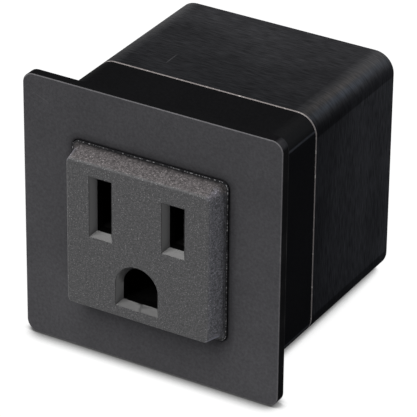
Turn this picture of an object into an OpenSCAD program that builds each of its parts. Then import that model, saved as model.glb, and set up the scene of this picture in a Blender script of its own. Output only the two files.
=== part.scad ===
// Flush power outlet for furniture: a square faceplate with a collar and a square tube
// behind it, and a three-hole grounded outlet that stands proud through the faceplate.
// X runs to the viewer's right, Y from the front to the rear, Z up, in millimetres.
// The origin is the middle of the face by which the faceplate seats on a panel.

/* [Faceplate] */
// Side of the square faceplate
plate_size = 45; // [43:0.5:60]
// Thickness of the faceplate
plate_t = 1.7; // [1.5:0.1:3]
// Corner radius of the faceplate, seen from the front
plate_r = 1.9; // [0.5:0.1:4]
// Broken edge around the front of the faceplate
plate_edge = 0.15; // [0.05:0.05:0.4]

/* [Collar and tube] */
// Width of the collar and the tube
body_w = 38.7; // [38.5:0.1:41]
// Height of the collar and the tube
body_h = 38.1; // [38:0.1:41]
// Outer corner radius of the collar and the tube
body_r = 3.3; // [2.6:0.1:4.5]
// Length of the collar behind the faceplate
collar_len = 13.9; // [11:0.1:18]
// Wall of the collar
collar_wall = 2.1; // [1.9:0.05:2.2]
// Length of the tube
tube_len = 25.1; // [23:0.1:60]
// Wall of the tube
tube_wall = 2; // [1.6:0.1:2.2]
// Wall left where the tube is rebated at both of its ends
rebate_wall = 1.1; // [0.8:0.05:1.3]
// Depth of the rebate at the front of the tube
front_rebate = 2.6; // [1.5:0.1:5]
// Bare chamfer around the front edge of the tube
tube_chamfer = 0.3; // [0.1:0.05:0.6]
// Broken edge around the rear of the tube
tube_rear_edge = 0.2; // [0.05:0.05:0.5]
// Gap all round between the collar's spigot and the tube
spigot_gap = 0.1; // [0.05:0.05:0.3]

/* [Outlet face] */
// Side of the square rim where the outlet comes through the faceplate
outlet_size = 27.1; // [27:0.05:27.3]
// Gap between that rim and the window in the faceplate
window_gap = 0.15; // [0.05:0.05:0.3]
// How far the rim stands proud of the faceplate
rim_proud = 0.3; // [0.1:0.05:1]
// Width of the ledge between the rim's edge and the raised block
rim_ledge = 0.35; // [0.2:0.05:0.7]
// Corner radius of the rim
rim_r = 1.2; // [0.8:0.1:2]
// How far the flat of the outlet stands proud of the faceplate
face_proud = 3.9; // [3:0.1:6]
// Draft of the raised block's walls, on each side
face_draft = 0.75; // [0.1:0.05:0.8]
// Rounding around the raised block's front edge
face_edge_r = 0.4; // [0.2:0.05:0.5]
// Corner radius at the foot of the raised block
face_r = 1.6; // [1.4:0.1:2.5]
// Wall of the moulding behind its flat
face_wall = 2.6; // [2:0.1:3.2]
// How far the flange behind the faceplate reaches past the window
flange_lap = 0.6; // [0.4:0.05:0.7]
// Thickness of that flange
flange_t = 2; // [1.5:0.1:3]

/* [Plug openings] */
// Distance between the middles of the two blade slots
blade_spacing = 12.7; // [12.5:0.1:13]
// Height of the blade slots' middle above the middle of the faceplate
slots_up = 5.1; // [4.9:0.05:5.3]
// Distance from the blade slots' middle down to the middle of the earth hole
earth_drop = 11.9; // [11.7:0.05:12]
// Width of a blade slot
slot_w = 2.4; // [2:0.05:2.5]
// Height of the neutral slot, the longer one
neutral_h = 8.7; // [8:0.1:8.8]
// Height of the line slot
line_h = 7; // [6.5:0.1:7.6]
// Radius of the earth hole's arch
earth_r = 2.95; // [2.5:0.05:3]
// Distance from the arch's middle down to the flat of the earth hole
earth_flat = 2.9; // [2.5:0.05:3]
// Width of the bevel around each opening
bevel_w = 0.85; // [0.5:0.05:1]
// Depth of that bevel
bevel_d = 1.15; // [0.5:0.05:1.4]
// Depth that a plug's longest pin needs, from the flat
pin_reach = 22.6; // [22:0.1:25]

/* [Outlet base] */
// Width of the base
base_w = 21.8; // [21.6:0.1:23]
// Height of the base
base_h = 24.6; // [24.2:0.1:25]
// How far the heads of the screws at the base's sides stay inside its edge
head_inset = 0.18; // [0.1:0.01:0.4]
// Wall behind the contact chambers, which holds the terminal screws
base_rear = 3; // [2.5:0.1:4]
// Wall around each contact chamber where it reaches into the face
chimney_wall = 0.7; // [0.5:0.05:0.8]
// Gap between the chambers' front ends and the face
chimney_gap = 0.3; // [0.1:0.05:0.5]
// Width of a blade chamber
blade_room = 5.6; // [5.3:0.1:5.7]
// Width and height of the earth chamber
earth_room = 7.4; // [7.3:0.1:7.6]
// Space above and below a contact in its chamber
contact_room = 0.5; // [0.2:0.05:0.6]

/* [Contacts] */
// Thickness of the brass strip
strip_t = 0.7; // [0.5:0.05:0.8]
// Height of the neutral contact
neutral_contact_h = 7.8; // [6.5:0.1:7.9]
// Height of the line contact
line_contact_h = 6.2; // [5.5:0.1:6.6]
// Height of the earth contact
earth_contact_h = 5.2; // [4.5:0.1:6]
// Gap between a blade contact's leaves where they grip
blade_grip = 1.2; // [1:0.05:1.4]
// Gap between a blade contact's leaves behind the grip
blade_clear = 2.3; // [2:0.05:2.5]
// Gap between the earth contact's leaves where they grip
earth_grip = 4.3; // [4:0.05:4.5]
// Gap between the earth contact's leaves behind the grip
earth_clear = 4.8; // [4.8:0.05:5]
// How far each leaf flares out at its mouth
leaf_flare = 0.7; // [0.3:0.05:0.8]
// Length of a leaf from its mouth to its grip
leaf_lead = 2.8; // [2:0.1:4]

/* [Terminals] */
// Distance from the middle to a blade terminal's screw
terminal_x = 4.9; // [4.8:0.05:5.1]
// Radius of a terminal screw
terminal_r = 1.5; // [1.25:0.05:1.6]
// Radius of a terminal screw's head
terminal_head_r = 2.3; // [2:0.05:2.4]
// Height of a terminal screw's head
terminal_head_h = 1.8; // [1.2:0.1:3]
// Width of a wire clamp plate
clamp_w = 4.6; // [4:0.1:4.7]
// Height of a wire clamp plate
clamp_h = 6.2; // [5:0.1:6.4]
// Thickness of a wire clamp plate
clamp_t = 0.9; // [0.6:0.1:1.5]
// Thickness of the bonding strap
strap_t = 0.5; // [0.3:0.05:0.6]
// Width of the bonding strap
strap_w = 4; // [3.6:0.1:4.4]

/* [Fastenings] */
// Thickness of the retaining frame
frame_t = 1.2; // [0.8:0.1:2]
// Gap around the retaining frame inside the collar
frame_gap = 0.15; // [0.1:0.05:0.25]
// Gap between the retaining frame and the base
frame_base_gap = 0.3; // [0.1:0.05:0.4]
// Radius of the screws that hold the retaining frame
frame_screw_r = 1; // [0.8:0.05:1.05]
// Radius of their heads
frame_head_r = 1.4; // [1.3:0.05:1.45]
// Length of their shanks
frame_screw_len = 3.9; // [3:0.1:4.2]
// Radius of the screws that join the outlet's face and base
outlet_screw_r = 1.1; // [0.9:0.05:1.2]
// Radius of their heads
outlet_head_r = 1.9; // [1.6:0.05:2]
// Radius of the long screws that clamp cover, tube and collar
long_screw_r = 1.5; // [1.2:0.05:1.6]
// Radius of their countersunk heads
long_head_r = 2.7; // [2.4:0.05:2.8]
// Distance from the tube's outer faces to the long screws' middles
long_screw_in = 4.35; // [4.3:0.05:4.6]
// How far the long screws reach into the collar's bosses
long_grip = 6; // [4:0.1:8]
// Radius of the collar's screw bosses
boss_r = 2.5; // [2.2:0.05:2.7]
// Gap around every screw in its hole
screw_gap = 0.05; // [0.02:0.01:0.1]

/* [Rear cover and inlet] */
// Thickness of the rear cover
cover_t = 2; // [1.6:0.1:3]
// How far the cover lies inside the tube's rear end
cover_in = 0.5; // [0.2:0.1:1.5]
// Gap around the cover in the tube's rebate
cover_gap = 0.15; // [0.1:0.05:0.3]
// Radius of the bore that a cord passes through
inlet_r = 3.9; // [2.5:0.1:5]
// Wall of the inlet bush
bush_wall = 1; // [0.8:0.1:1.5]
// Length of the inlet bush inside the cover
bush_in = 3.6; // [3:0.1:6]
// Radius of the inlet bush's head
bush_head_r = 6.8; // [6.5:0.1:9]
// Thickness of the inlet bush's head
bush_head_t = 2; // [1.2:0.1:4]
// Rounding of the head and of the bore's mouth
bush_round = 0.8; // [0.3:0.1:0.8]
// Thickness of the lock nut
nut_t = 2.6; // [2:0.1:2.9]
// Radius of the lock nut across its corners
nut_r = 7.6; // [7.2:0.1:9]
// Thickness of the insulating liner
liner_t = 0.4; // [0.2:0.05:0.5]
// Gap between the liner and the tube
liner_gap = 0.1; // [0.05:0.05:0.2]

/* [Hidden] */
$fn = 64;
arc_steps = 6;
cut = 1;
face_y = -plate_t - face_proud;
face_back_y = face_y + face_wall;
rear_y = collar_len + tube_len;
base_rear_y = face_y + pin_reach + base_rear;
chamber_end_y = face_y + pin_reach;
chimney_y = face_back_y + chimney_gap;
mouth_y = chimney_y + chimney_gap;
pad_y = base_rear_y + strip_t / 2;

window_size = outlet_size + 2 * window_gap;
window_r = rim_r + window_gap;
flange_size = window_size + 2 * flange_lap;
block_size = outlet_size - 2 * rim_ledge;
cavity_w = blade_spacing + blade_room + 2 * chimney_wall + 2 * chimney_gap;
cavity_top = slots_up + neutral_contact_h / 2 + contact_room + chimney_wall + chimney_gap;
cavity_bottom = slots_up - earth_drop - earth_room / 2 - chimney_wall - chimney_gap;

collar_in_w = body_w - 2 * collar_wall;
collar_in_h = body_h - 2 * collar_wall;
rebate_w = body_w - 2 * rebate_wall;
rebate_h = body_h - 2 * rebate_wall;
rebate_r = body_r - rebate_wall;
cover_y = rear_y - cover_in - cover_t;

frame_w = collar_in_w - 2 * frame_gap;
frame_h = collar_in_h - 2 * frame_gap;
frame_screw_x = collar_in_w / 2 - frame_head_r - frame_gap;
frame_screw_z = collar_in_h / 2 - frame_head_r - frame_gap;
frame_boss_w = 2 * frame_head_r + 2;
long_screw_x = body_w / 2 - long_screw_in;
long_screw_z = body_h / 2 - long_screw_in;
outlet_screw_x = base_w / 2 - outlet_head_r - head_inset;
outlet_screw_places = [
    [0, cavity_top - outlet_head_r / 4],
    [-outlet_screw_x, slots_up - earth_drop],
    [outlet_screw_x, slots_up - earth_drop]
];
terminal_grip = base_rear * 2 / 3;
tail_bend = strip_t;
corner_r = 1;
blade_leaf = blade_clear / 2 + strip_t / 2;
earth_leaf = earth_clear / 2 + strip_t / 2;
// Each terminal: screw's x, z, contact's x, side that the tail is on, leaf's offset, contact's height
terminals = [
    [-terminal_x, slots_up, -blade_spacing / 2, 1, blade_leaf, neutral_contact_h],
    [terminal_x, slots_up, blade_spacing / 2, -1, blade_leaf, line_contact_h],
    [0, slots_up - earth_drop, 0, 1, earth_leaf, earth_contact_h]
];
corners = [[1, 1], [-1, 1], [-1, -1], [1, -1]];
sides = [[1, 0], [0, 1], [-1, 0], [0, -1]];

black = [0.13, 0.13, 0.135];
graphite = [0.32, 0.32, 0.325];
steel = [0.72, 0.73, 0.74];
brass = [0.8, 0.62, 0.3];
nickel = [0.78, 0.77, 0.74];
green = [0.16, 0.45, 0.25];
nylon = [0.1, 0.1, 0.1];
fibre = [0.72, 0.68, 0.58];

// Sheet-metal and curve helpers, in the plane
function unit(v) = v / norm(v);
function left(v) = [-v[1], v[0]];
function arc(middle, r, from, to) =
    [for (i = [0:arc_steps]) let (a = from + (to - from) * i / arc_steps)
        middle + r * [cos(a), sin(a)]];
function strip_side(path, t, side) =
    [for (i = [0:len(path) - 1])
        let (before = unit(i == 0 ? path[1] - path[0] : path[i] - path[i - 1]),
             after = i == len(path) - 1 ? before : unit(path[i + 1] - path[i]),
             out = unit(left(before) + left(after)))
        path[i] + side * t / 2 / (out * left(before)) * out];
function turned(list) = [for (i = [len(list) - 1:-1:0]) list[i]];
function strip(path, t) = concat(strip_side(path, t, 1), turned(strip_side(path, t, -1)));

// Draws its children from y0 to y1, with their own Y pointing up
module along_y(y0, y1) {
    translate([0, y1, 0]) rotate([90, 0, 0]) linear_extrude(height = y1 - y0) children();
}

// Round bar from y0 to y1, of radius r0 in front and r1 behind
module bar(y0, y1, r0, r1) {
    translate([0, y1, 0]) rotate([90, 0, 0]) cylinder(h = y1 - y0, r1 = r1, r2 = r0);
}

// Straight hole for a screw or bar of radius r, from y0 to y1, cut past both ends
module hole(y0, y1, r) {
    bar(y0 - cut, y1 + cut, r + screw_gap, r + screw_gap);
}

// Rectangle with round corners
module rounded(w, h, r) {
    square([w - 2 * r, h], center = true);
    square([w, h - 2 * r], center = true);
    for (c = corners) translate([c[0] * (w / 2 - r), c[1] * (h / 2 - r)]) circle(r);
}

// Rounded square bar whose edge follows profile, a list of [corner radius, y] from rear to front
module edged_block(w, h, r, profile) {
    half_w = w / 2 - r;
    half_h = h / 2 - r;
    last = len(profile) - 1;
    wide = concat([for (p = profile) [half_w + p[0], p[1]]],
        turned([for (p = profile) [-half_w - p[0], p[1]]]));
    high = concat([for (p = profile) [half_h + p[0], p[1]]],
        turned([for (p = profile) [-half_h - p[0], p[1]]]));
    corner = concat([[0, -profile[0][1]]], [for (p = profile) [p[0], -p[1]]], [[0, -profile[last][1]]]);
    translate([0, 0, -half_h]) linear_extrude(height = 2 * half_h) polygon(wide);
    translate([-half_w, 0, 0]) rotate([0, 90, 0]) linear_extrude(height = 2 * half_w) polygon(high);
    for (c = corners)
        translate([c[0] * half_w, 0, c[1] * half_h]) rotate([90, 0, 0]) rotate_extrude() polygon(corner);
}

// Screw with its head's seat at y and its head behind it
module screw(y, r, length, head_r, head_h) {
    bar(y - length, y, r, r);
    difference() {
        bar(y, y + head_h, head_r, head_r);
        driver_slot(y + head_h, head_r);
    }
}

module driver_slot(y, head_r) {
    slot = 0.7;
    translate([-head_r - cut, y - slot, -slot / 2]) cube([2 * head_r + 2 * cut, slot + cut, slot]);
}

// Faceplate and collar, machined from one piece
module bezel() {
    spigot_end = collar_len + front_rebate - spigot_gap;
    color(black) difference() {
        union() {
            edged_block(plate_size, plate_size, plate_r,
                [[plate_r, 0], [plate_r, plate_edge - plate_t], [plate_r - plate_edge, -plate_t]]);
            difference() {
                union() {
                    along_y(-plate_t / 2, collar_len) rounded(body_w, body_h, body_r);
                    along_y(collar_len - cut, spigot_end)
                        rounded(rebate_w - 2 * spigot_gap, rebate_h - 2 * spigot_gap, rebate_r - spigot_gap);
                }
                along_y(0, spigot_end + cut) rounded(collar_in_w, collar_in_h, body_r - collar_wall);
            }
            intersection() {
                union() {
                    for (c = corners) translate([c[0] * long_screw_x, 0, c[1] * long_screw_z])
                        bar(-plate_t / 2, collar_len, boss_r, boss_r);
                    for (s = sides) frame_boss(s);
                }
                along_y(-plate_t, collar_len) rounded(body_w - collar_wall, body_h - collar_wall, body_r / 2);
            }
        }
        along_y(-plate_t - cut, cut / 2) rounded(window_size, window_size, window_r);
        for (c = corners) translate([c[0] * long_screw_x, 0, c[1] * long_screw_z])
            hole(collar_len - long_grip, collar_len, long_screw_r);
        for (s = sides) translate([s[0] * frame_screw_x, 0, s[1] * frame_screw_z])
            bar(flange_t + frame_t - frame_screw_len - screw_gap, flange_t + cut,
                frame_screw_r + screw_gap, frame_screw_r + screw_gap);
    }
}

// Boss on the collar's inner side that takes one screw of the retaining frame
module frame_boss(s) {
    from = flange_size / 2 + window_gap;
    deep_x = body_w / 2 - from;
    deep_z = body_h / 2 - from;
    if (s[0] != 0)
        translate([s[0] > 0 ? from : -from - deep_x, -plate_t / 2, -frame_boss_w / 2])
            cube([deep_x, flange_t + plate_t / 2, frame_boss_w]);
    else
        translate([-frame_boss_w / 2, -plate_t / 2, s[1] > 0 ? from : -from - deep_z])
            cube([frame_boss_w, flange_t + plate_t / 2, deep_z]);
}

// Square tube with a chamfered front edge, rebated inside at both ends
module housing_tube() {
    color(black) difference() {
        edged_block(body_w, body_h, body_r, [
            [body_r - tube_rear_edge, rear_y], [body_r, rear_y - tube_rear_edge],
            [body_r, collar_len + tube_chamfer], [body_r - tube_chamfer, collar_len]
        ]);
        along_y(collar_len - cut, rear_y + cut)
            rounded(body_w - 2 * tube_wall, body_h - 2 * tube_wall, body_r - tube_wall);
        along_y(collar_len - cut, collar_len + front_rebate) rounded(rebate_w, rebate_h, rebate_r);
        along_y(cover_y, rear_y + cut) rounded(rebate_w, rebate_h, rebate_r);
    }
}

// Plate that closes the tube, with countersunk holes and the inlet's hole
module back_cover() {
    sink = long_head_r - long_screw_r;
    color(black) difference() {
        along_y(cover_y, cover_y + cover_t)
            rounded(rebate_w - 2 * cover_gap, rebate_h - 2 * cover_gap, rebate_r - cover_gap);
        hole(cover_y, cover_y + cover_t, inlet_r + bush_wall);
        for (c = corners) translate([c[0] * long_screw_x, 0, c[1] * long_screw_z]) {
            hole(cover_y, cover_y + cover_t, long_screw_r);
            bar(cover_y + cover_t - sink, cover_y + cover_t + cut,
                long_screw_r + screw_gap, long_head_r + screw_gap + cut);
        }
    }
}

// Turned nylon bush with a rounded head, bored for the cord
module inlet_bush() {
    seat = cover_y + cover_t;
    end = seat + bush_head_t;
    color(nylon) rotate([-90, 0, 0]) rotate_extrude() polygon(concat(
        [[inlet_r, cover_y - bush_in], [inlet_r + bush_wall, cover_y - bush_in],
         [inlet_r + bush_wall, seat], [bush_head_r, seat]],
        arc([bush_head_r - bush_round, end - bush_round], bush_round, 0, 90),
        arc([inlet_r + bush_round, end - bush_round], bush_round, 90, 180)
    ));
}

// Hexagon nut that holds the bush from inside
module inlet_locknut() {
    color(nylon) difference() {
        translate([0, cover_y, 0]) rotate([90, 0, 0]) cylinder(h = nut_t, r = nut_r, $fn = 6);
        hole(cover_y - nut_t, cover_y, inlet_r + bush_wall);
    }
}

// Four long countersunk screws, from the cover into the collar's bosses
module housing_screws() {
    top = cover_y + cover_t;
    sink = long_head_r - long_screw_r;
    cross_w = 0.6;
    cross_d = 1.1;
    color(steel) for (c = corners) translate([c[0] * long_screw_x, 0, c[1] * long_screw_z])
        difference() {
            union() {
                bar(collar_len - long_grip, top - sink / 2, long_screw_r, long_screw_r);
                bar(top - sink, top, long_screw_r, long_head_r);
            }
            for (a = [0, 90]) rotate([0, a, 0])
                translate([-long_screw_r, top - cross_d, -cross_w / 2])
                    cube([2 * long_screw_r, cross_d + cut, cross_w]);
        }
}

// Bevelled mouth of a rectangular slot
module slot_bevel(w, h) {
    lead = bevel_w / bevel_d;
    front = face_y - cut;
    wide = w / 2 + bevel_w + cut * lead;
    high = h / 2 + bevel_w + cut * lead;
    intersection() {
        translate([0, 0, -high]) linear_extrude(height = 2 * high)
            polygon([[-wide, front], [wide, front], [w / 2, face_y + bevel_d], [-w / 2, face_y + bevel_d]]);
        translate([-wide, 0, 0]) rotate([0, 90, 0]) linear_extrude(height = 2 * wide)
            polygon([[-high, front], [high, front], [h / 2, face_y + bevel_d], [-h / 2, face_y + bevel_d]]);
    }
}

module blade_slot(x, h) {
    translate([x, 0, slots_up]) {
        slot_bevel(slot_w, h);
        along_y(face_y, face_back_y + cut) square([slot_w, h], center = true);
    }
}

// Arched earth hole with a flat foot, and its bevelled mouth
module earth_hole() {
    lead = bevel_w / bevel_d;
    front = face_y - cut;
    wide = earth_r + bevel_w + cut * lead;
    low = earth_flat + bevel_w + cut * lead;
    translate([0, 0, slots_up - earth_drop]) {
        bar(front, face_y + bevel_d, wide, earth_r);
        intersection() {
            translate([0, 0, -low]) linear_extrude(height = low) polygon([
                [-wide, front], [wide, front], [earth_r, face_y + bevel_d], [-earth_r, face_y + bevel_d]
            ]);
            translate([-wide, 0, 0]) rotate([0, 90, 0]) linear_extrude(height = 2 * wide) polygon([
                [0, front], [low, front], [earth_flat, face_y + bevel_d], [0, face_y + bevel_d]
            ]);
        }
        along_y(face_y, face_back_y + cut) {
            circle(earth_r);
            translate([-earth_r, -earth_flat]) square([2 * earth_r, earth_flat]);
        }
    }
}

// Moulded face: raised block with bevelled openings, rim, and a flange behind the faceplate
module outlet_face() {
    top_r = face_r - face_draft;
    edge = arc([top_r - face_edge_r, face_y + face_edge_r], face_edge_r, 0, -90);
    color(graphite) difference() {
        union() {
            edged_block(block_size, block_size, face_r, concat([[face_r, -plate_t]], edge));
            along_y(-plate_t - rim_proud, cut / 4) rounded(outlet_size, outlet_size, rim_r);
            difference() {
                along_y(0, flange_t) square(flange_size, center = true);
                for (c = corners) translate([c[0] * long_screw_x, 0, c[1] * long_screw_z])
                    bar(-cut, flange_t + cut, boss_r + window_gap, boss_r + window_gap);
            }
        }
        difference() {
            translate([-cavity_w / 2, face_back_y, cavity_bottom])
                cube([cavity_w, flange_t - face_back_y + cut, cavity_top - cavity_bottom]);
            for (p = outlet_screw_places) translate([p[0], 0, p[1]])
                bar(face_back_y - cut, flange_t + 2 * cut, outlet_head_r, outlet_head_r);
        }
        for (p = outlet_screw_places) translate([p[0], 0, p[1]])
            bar(face_back_y + screw_gap, flange_t + cut,
                outlet_screw_r + screw_gap, outlet_screw_r + screw_gap);
        blade_slot(-blade_spacing / 2, neutral_h);
        blade_slot(blade_spacing / 2, line_h);
        earth_hole();
    }
}

function earth_z() = slots_up - earth_drop;

// Box from y0 to y1, centred on x and z
module chamber(x, z, w, h, y0, y1) {
    translate([x - w / 2, y0, z - h / 2]) cube([w, y1 - y0, h]);
}

module contact_chambers(grow, y0, y1) {
    blade_w = blade_room + 2 * grow;
    spare = 2 * contact_room + 2 * grow;
    chamber(-blade_spacing / 2, slots_up, blade_w, neutral_contact_h + spare, y0, y1);
    chamber(blade_spacing / 2, slots_up, blade_w, line_contact_h + spare, y0, y1);
    chamber(0, earth_z(), earth_room + 2 * grow, earth_room + 2 * grow, y0, y1);
}

// Moulded base: three chambers that reach into the face, and a rear wall for the terminals
module outlet_base() {
    color(black) difference() {
        union() {
            along_y(flange_t, base_rear_y) rounded(base_w, base_h, corner_r);
            contact_chambers(chimney_wall, chimney_y, flange_t + cut);
        }
        contact_chambers(0, chimney_y - cut, chamber_end_y);
        for (p = outlet_screw_places) translate([p[0], 0, p[1]])
            hole(flange_t, base_rear_y, outlet_screw_r);
        for (t = terminals) {
            translate([t[0], 0, t[1]])
                bar(base_rear_y - terminal_grip - screw_gap, base_rear_y + cut,
                    terminal_r + screw_gap, terminal_r + screw_gap);
            tail_slot(t);
        }
    }
}

// Slot in the rear wall that a contact's tail passes through, open towards the bend
module tail_slot(t) {
    outer = strip_t / 2 + screw_gap;
    translate([t[2], 0, t[1]]) mirror([t[3] < 0 ? 1 : 0, 0, 0])
        translate([-t[4] - outer, chamber_end_y - cut, -t[5] / 2 - screw_gap])
            cube([outer + tail_bend + screw_gap, base_rear + 2 * cut, t[5] + 2 * screw_gap]);
}

// Spring contact folded from one strip: two leaves joined by a turn, and a tail bent into a pad.
// t is a row of terminals: the pad reaches past the terminal screw, which clamps it.
module contact(t, grip) {
    g = grip / 2 + strip_t / 2;
    c = t[4];
    turn_y = chamber_end_y - chimney_gap - strip_t / 2 - c;
    pad_end = abs(t[0] - t[2]) + clamp_w / 2;
    leaf = [[g + leaf_flare, mouth_y], [g, mouth_y + leaf_lead], [c, mouth_y + 2 * leaf_lead]];
    tail = concat([for (p = leaf) [-p[0], p[1]]],
        arc([tail_bend - c, pad_y - tail_bend], tail_bend, 180, 90), [[pad_end, pad_y]]);
    turn = concat(arc([0, turn_y], c, 180, 0), turned(leaf));
    color(brass) difference() {
        translate([t[2], 0, t[1] - t[5] / 2]) mirror([t[3] < 0 ? 1 : 0, 0, 0])
            linear_extrude(height = t[5]) {
                polygon(strip(tail, strip_t));
                polygon(strip(turn, strip_t));
            }
        translate([t[0], 0, t[1]])
            hole(base_rear_y, base_rear_y + strip_t, terminal_r);
    }
}

module neutral_contact() {
    contact(terminals[0], blade_grip);
}

module line_contact() {
    contact(terminals[1], blade_grip);
}

module ground_contact() {
    contact(terminals[2], earth_grip);
}

// Screw on one terminal, seated on its clamp plate; under is what lies below the plate
module terminal_screw(t, under) {
    seat = base_rear_y + under + clamp_t;
    translate([t[0], 0, t[1]])
        screw(seat, terminal_r, seat - base_rear_y + terminal_grip, terminal_head_r, terminal_head_h);
}

module neutral_terminal_screw() {
    color(nickel) terminal_screw(terminals[0], strip_t);
}

module line_terminal_screw() {
    color(brass) terminal_screw(terminals[1], strip_t);
}

module ground_terminal_screw() {
    color(green) terminal_screw(terminals[2], strip_t + strap_t);
}

// Plate under a terminal screw, grooved on both sides of the screw for bare wire
module clamp_plate(t, under) {
    seat = base_rear_y + under;
    groove_r = clamp_t / 2;
    color(steel) translate([t[0], 0, t[1]]) difference() {
        translate([-clamp_w / 2, seat, -clamp_h / 2]) cube([clamp_w, clamp_t, clamp_h]);
        hole(seat, seat + clamp_t, terminal_r);
        for (s = [-1, 1]) translate([s * clamp_w / 2, seat, -clamp_h / 2 - cut])
            cylinder(h = clamp_h + 2 * cut, r = groove_r);
    }
}

module neutral_clamp_plate() {
    clamp_plate(terminals[0], strip_t);
}

module line_clamp_plate() {
    clamp_plate(terminals[1], strip_t);
}

module ground_clamp_plate() {
    clamp_plate(terminals[2], strip_t + strap_t);
}

// Three screws from behind the base into the face
module outlet_screws() {
    reach = base_rear_y - face_back_y - 2 * screw_gap;
    color(steel) for (p = outlet_screw_places) translate([p[0], 0, p[1]])
        screw(base_rear_y, outlet_screw_r, reach, outlet_head_r, outlet_head_r / 2);
}

// Stamped frame that presses the face's flange against the back of the faceplate
module retaining_frame() {
    clear_r = boss_r + window_gap;
    color(steel) difference() {
        along_y(flange_t, flange_t + frame_t) difference() {
            rounded(frame_w, frame_h, corner_r);
            square([base_w + 2 * frame_base_gap, base_h + 2 * frame_base_gap], center = true);
            for (c = corners) {
                translate([c[0] * long_screw_x, c[1] * long_screw_z]) circle(clear_r);
                translate([c[0] * (long_screw_x + body_w / 2), c[1] * (long_screw_z - clear_r + body_h / 2)])
                    square([body_w, body_h], center = true);
                translate([c[0] * (long_screw_x - clear_r + body_w / 2), c[1] * (long_screw_z + body_h / 2)])
                    square([body_w, body_h], center = true);
            }
        }
        for (s = sides) translate([s[0] * frame_screw_x, 0, s[1] * frame_screw_z])
            hole(flange_t, flange_t + frame_t, frame_screw_r);
    }
}

// Four short screws through the frame; the lowest also holds the bonding strap
module retaining_screws() {
    color(steel) for (s = sides) {
        seat = flange_t + frame_t + (s[1] < 0 ? strap_t : 0);
        translate([s[0] * frame_screw_x, 0, s[1] * frame_screw_z])
            screw(seat, frame_screw_r, frame_screw_len, frame_head_r, frame_head_r * 0.7);
    }
}

// Strip that earths the metal body: from the earth terminal, under the base, to the frame
module bonding_strap() {
    top_y = base_rear_y + strip_t + strap_t / 2;
    foot_y = flange_t + frame_t + strap_t / 2;
    run = base_h / 2 + frame_base_gap / 2 + strap_t / 2;
    path = concat([[-earth_z() - clamp_h / 2, top_y]],
        arc([run - strap_t, top_y - strap_t], strap_t, 90, 0),
        arc([run + strap_t, foot_y + strap_t], strap_t, 180, 270),
        [[frame_h / 2, foot_y]]);
    color(brass) difference() {
        translate([-strap_w / 2, 0, 0]) rotate([0, 90, 0])
            linear_extrude(height = strap_w) polygon(strip(path, strap_t));
        translate([0, 0, earth_z()])
            hole(top_y, top_y, terminal_r);
        translate([0, 0, -frame_screw_z])
            hole(foot_y, foot_y, frame_screw_r);
    }
}

// Folded fibre sleeve between the terminals and the metal tube
module insulating_liner() {
    w = body_w - 2 * tube_wall - 2 * liner_gap;
    h = body_h - 2 * tube_wall - 2 * liner_gap;
    r = body_r - tube_wall - liner_gap;
    color(fibre) along_y(collar_len + front_rebate, cover_y) difference() {
        rounded(w, h, r);
        rounded(w - 2 * liner_t, h - 2 * liner_t, r - liner_t);
    }
}

bezel();
housing_tube();
back_cover();
inlet_bush();
inlet_locknut();
housing_screws();
outlet_face();
outlet_base();
neutral_contact();
line_contact();
ground_contact();
neutral_terminal_screw();
line_terminal_screw();
ground_terminal_screw();
neutral_clamp_plate();
line_clamp_plate();
ground_clamp_plate();
outlet_screws();
retaining_frame();
retaining_screws();
bonding_strap();
insulating_liner();
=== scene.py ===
# A flush-mount power outlet on a pale studio floor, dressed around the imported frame.
# Everything is in metres in the frame's own axes: X to the viewer's right, Y to the rear, Z up.
import math

import bpy
from mathutils import Matrix, Vector


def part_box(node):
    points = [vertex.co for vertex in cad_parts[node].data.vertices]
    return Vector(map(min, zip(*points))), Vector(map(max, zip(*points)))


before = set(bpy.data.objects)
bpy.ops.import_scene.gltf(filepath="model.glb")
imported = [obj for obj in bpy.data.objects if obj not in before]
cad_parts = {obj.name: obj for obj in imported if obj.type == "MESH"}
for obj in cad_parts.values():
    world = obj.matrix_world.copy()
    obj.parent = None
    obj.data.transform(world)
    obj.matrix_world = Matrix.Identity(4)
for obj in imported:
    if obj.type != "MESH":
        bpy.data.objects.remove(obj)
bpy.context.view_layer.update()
scene = bpy.context.scene
scene.view_settings.view_transform = "Standard"
MM = 0.001

# Camera
# A long lens from the front right and above, at the photograph's angle and distance.
# The tilt and the aim come from the outline of the faceplate and the tube.
camera_azimuth = math.radians(30.332)
camera_elevation = math.radians(28.736)
camera_roll = math.radians(0.618)
camera_distance = 493.8 * MM
camera_aim = Vector((6.36, 4.70, 4.22)) * MM
lens_length = 283.83

back = Vector((
    math.sin(camera_azimuth) * math.cos(camera_elevation),
    -math.cos(camera_azimuth) * math.cos(camera_elevation),
    math.sin(camera_elevation),
))
level_right = Vector((math.cos(camera_azimuth), math.sin(camera_azimuth), 0.0))
level_up = back.cross(level_right)
camera_right = level_right * math.cos(camera_roll) + level_up * math.sin(camera_roll)
camera_up = back.cross(camera_right)
camera_data = bpy.data.cameras.new("studio_camera")
camera_data.lens = lens_length
camera_data.sensor_width = 36.0
camera_data.clip_start = 0.01
camera_data.clip_end = 20.0
camera = bpy.data.objects.new("studio_camera", camera_data)
scene.collection.objects.link(camera)
turn = Matrix((camera_right, camera_up, back)).transposed().to_4x4()
camera.matrix_world = Matrix.Translation(camera_aim + back * camera_distance) @ turn
scene.camera = camera

# Studio floor
# The outlet lies as it would rest, on the faceplate's lower edge and the tube's rear one.
# The floor is white to the lens and in reflections, with a painted contact shadow where the outlet meets it.
bezel_low, bezel_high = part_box("bezel")
tube_low, tube_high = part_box("housing_tube")
heel = Vector((0.0, 0.0, bezel_low.z))
toe = Vector((0.0, tube_high.y, tube_low.z))
floor_tilt = math.atan2(toe.z - heel.z, toe.y - heel.y)
half_floor = 3.0
paper_white = 0.68
shadow_share = 0.05
contact_reach = 4.6 * MM
contact_dark = 0.06
front_open = 0.87
side_dark = 0.12
corner_open = 0.5
side_open = 0.47

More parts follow.
